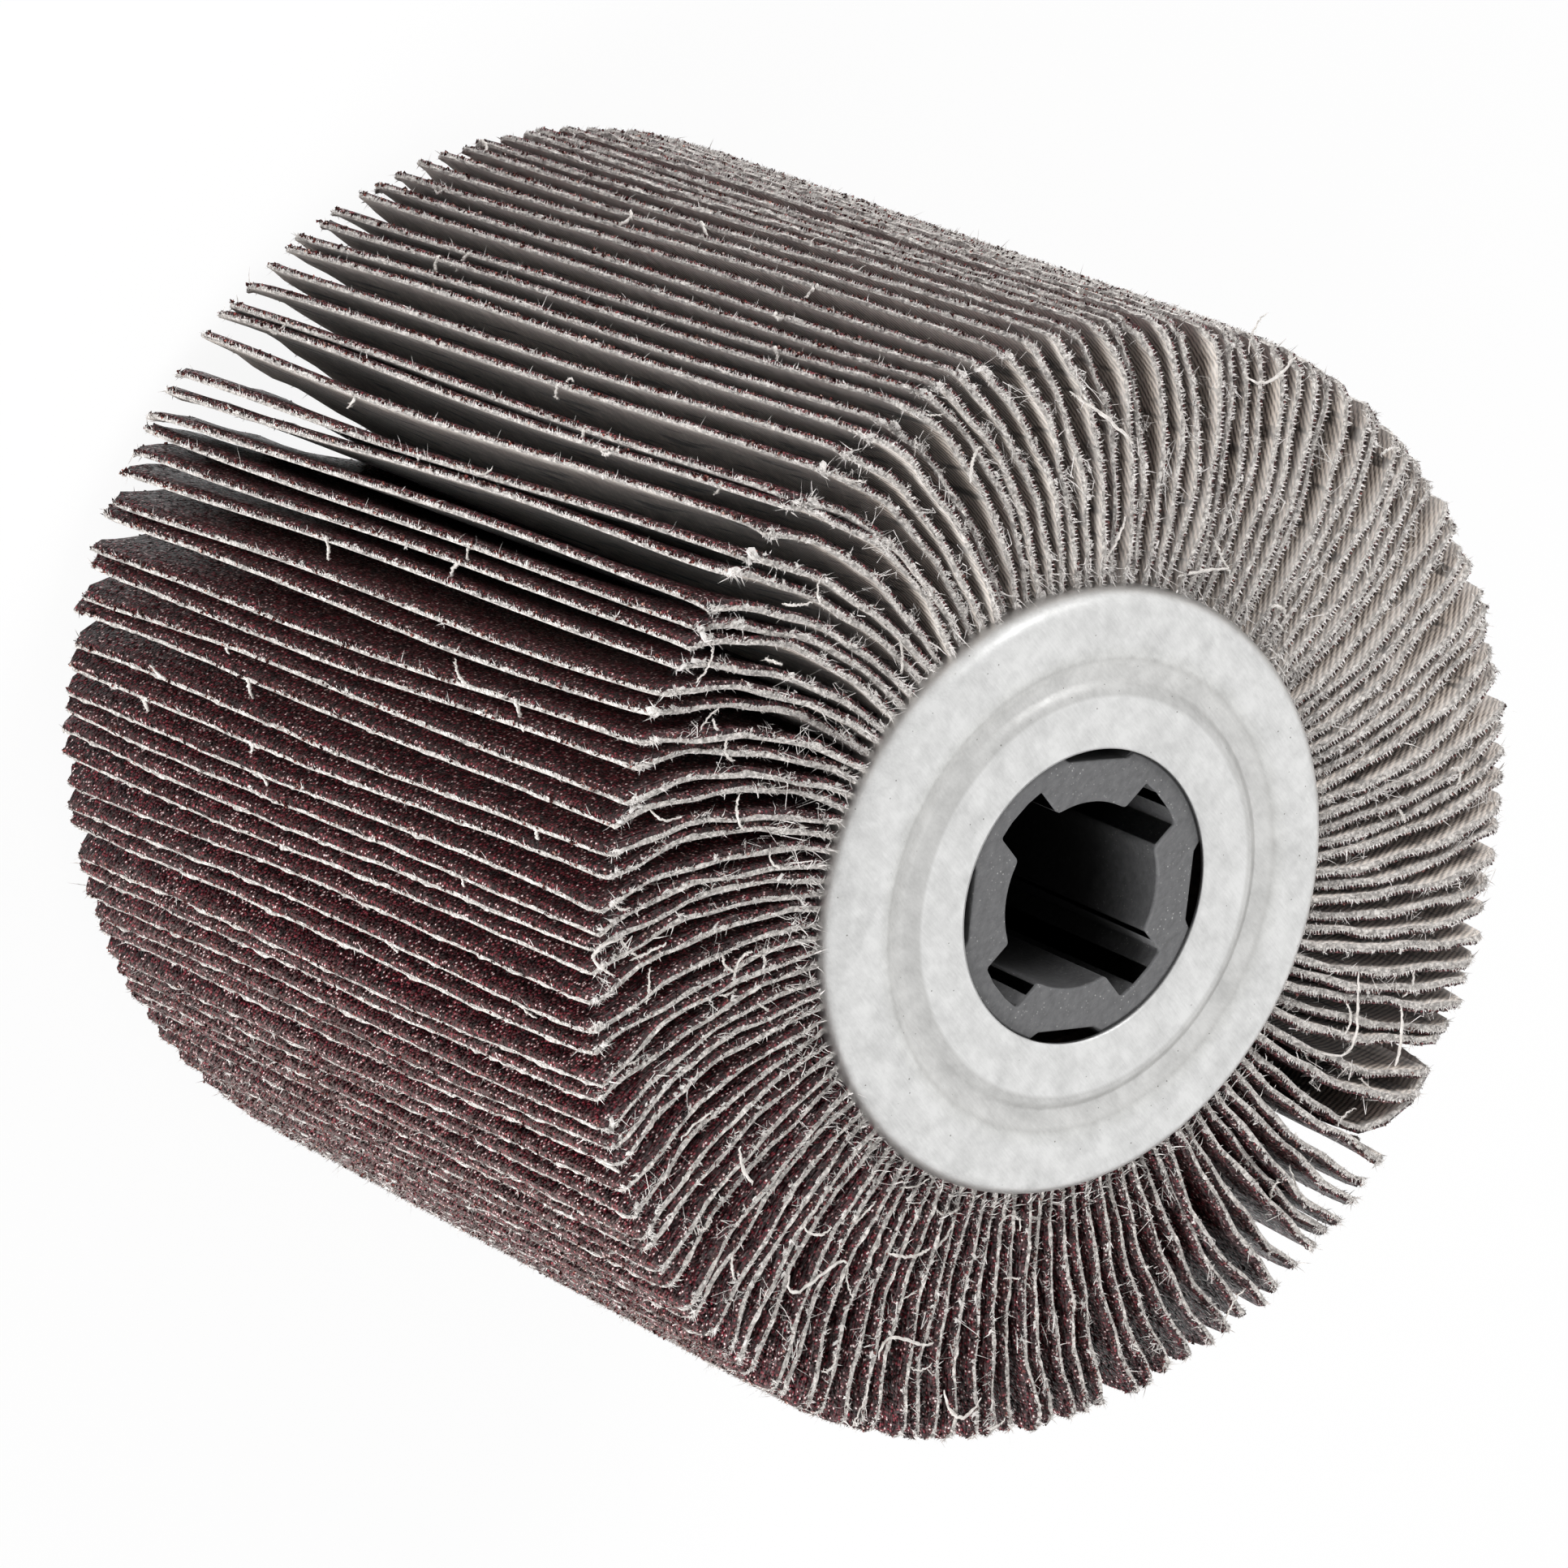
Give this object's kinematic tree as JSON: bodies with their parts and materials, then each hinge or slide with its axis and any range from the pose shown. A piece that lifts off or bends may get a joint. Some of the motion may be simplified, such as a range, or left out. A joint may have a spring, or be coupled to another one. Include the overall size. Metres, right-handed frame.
{
  "type": "flap wheel",
  "caption": "Abrasive cloth flap wheel: swept flaps bonded round a moulded hub with a four-key bore, closed by a pressed sheet flange at each end.",
  "frame": {"origin": "on the wheel's axis, in the plane of the rear flange's face that the wheel stands on", "axes": "+Z along the bore, out of the front flange; the four keyways of the bore lie along X and Y"},
  "size_m": [0.12, 0.12, 0.1056],
  "materials": {
    "moulded_plastic": "matte, fine mould grain",
    "flange_sheet": "dull rolled sheet",
    "abrasive_cloth": "brown grit on grey cloth with frayed edges"
  },
  "bodies": {
    "root": {"hub": "moulded_plastic", "front_flange": "flange_sheet", "rear_flange": "flange_sheet", "flap_pack": "abrasive_cloth"}
  },
  "joints": []
}
